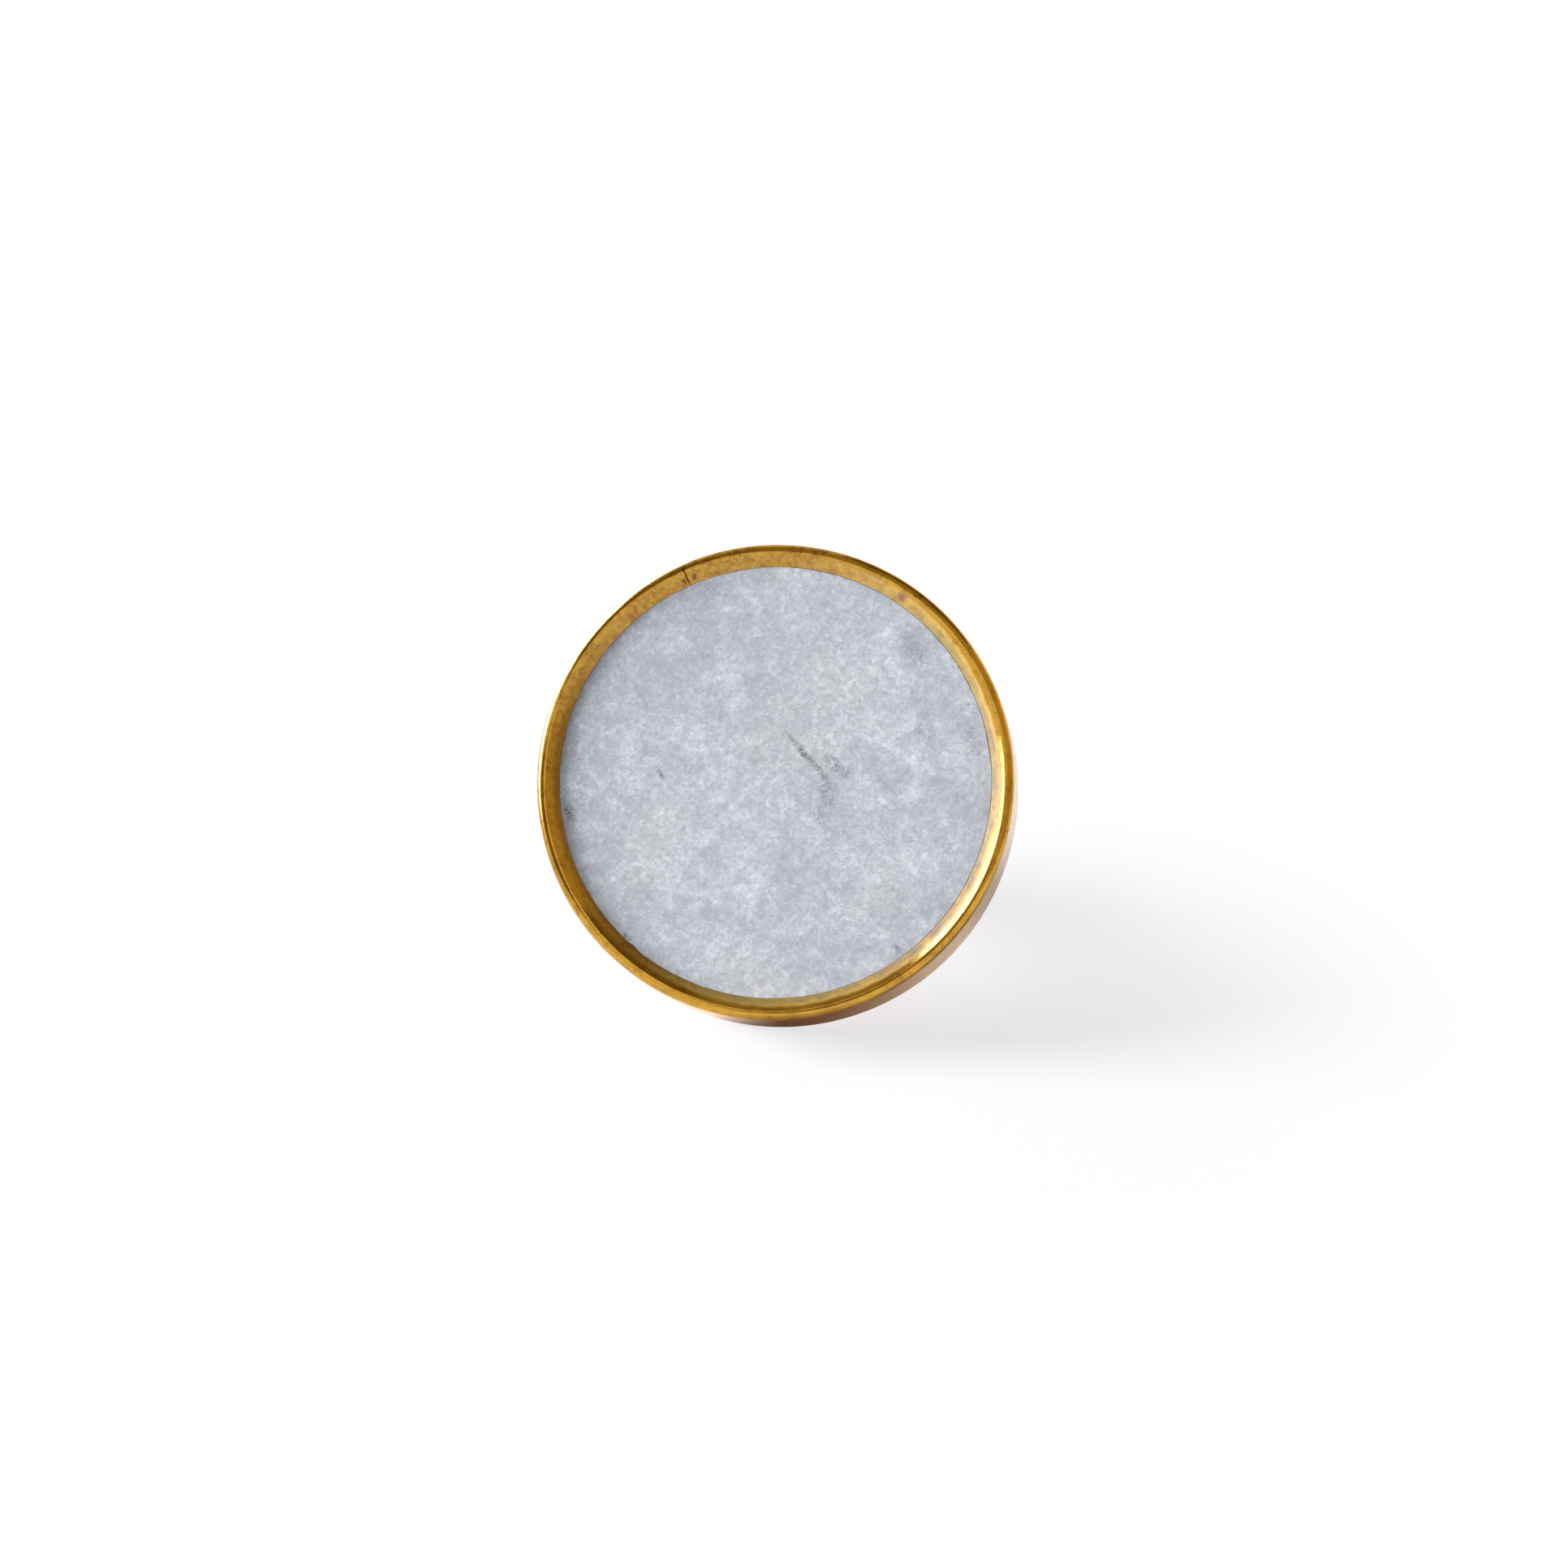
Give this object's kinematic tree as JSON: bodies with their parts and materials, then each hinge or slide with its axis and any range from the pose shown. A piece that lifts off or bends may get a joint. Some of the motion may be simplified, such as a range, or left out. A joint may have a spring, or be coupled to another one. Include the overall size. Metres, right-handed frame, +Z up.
{
  "type": "cabinet knob",
  "caption": "Round cabinet knob: a brass ring with a rounded lip frames an inset marble disc, on a back plate and a turned, waisted stem with a threaded hole.",
  "frame": {"origin": "centre of the foot's mounting face, which lies against the drawer front", "axes": "+Y along the knob's axis, out of the mounting face into the drawer front; the knob's face looks towards -Y; +Z up"},
  "size_m": [0.038, 0.028, 0.038],
  "materials": {
    "brass": "aged and rubbed, with darker tarnish in the corners",
    "marble": "honed, pale cool grey with a crystalline grain"
  },
  "bodies": {
    "root": {"bezel_ring": "brass", "marble_disc": "marble", "back_plate": "brass", "stem": "brass"}
  },
  "joints": []
}
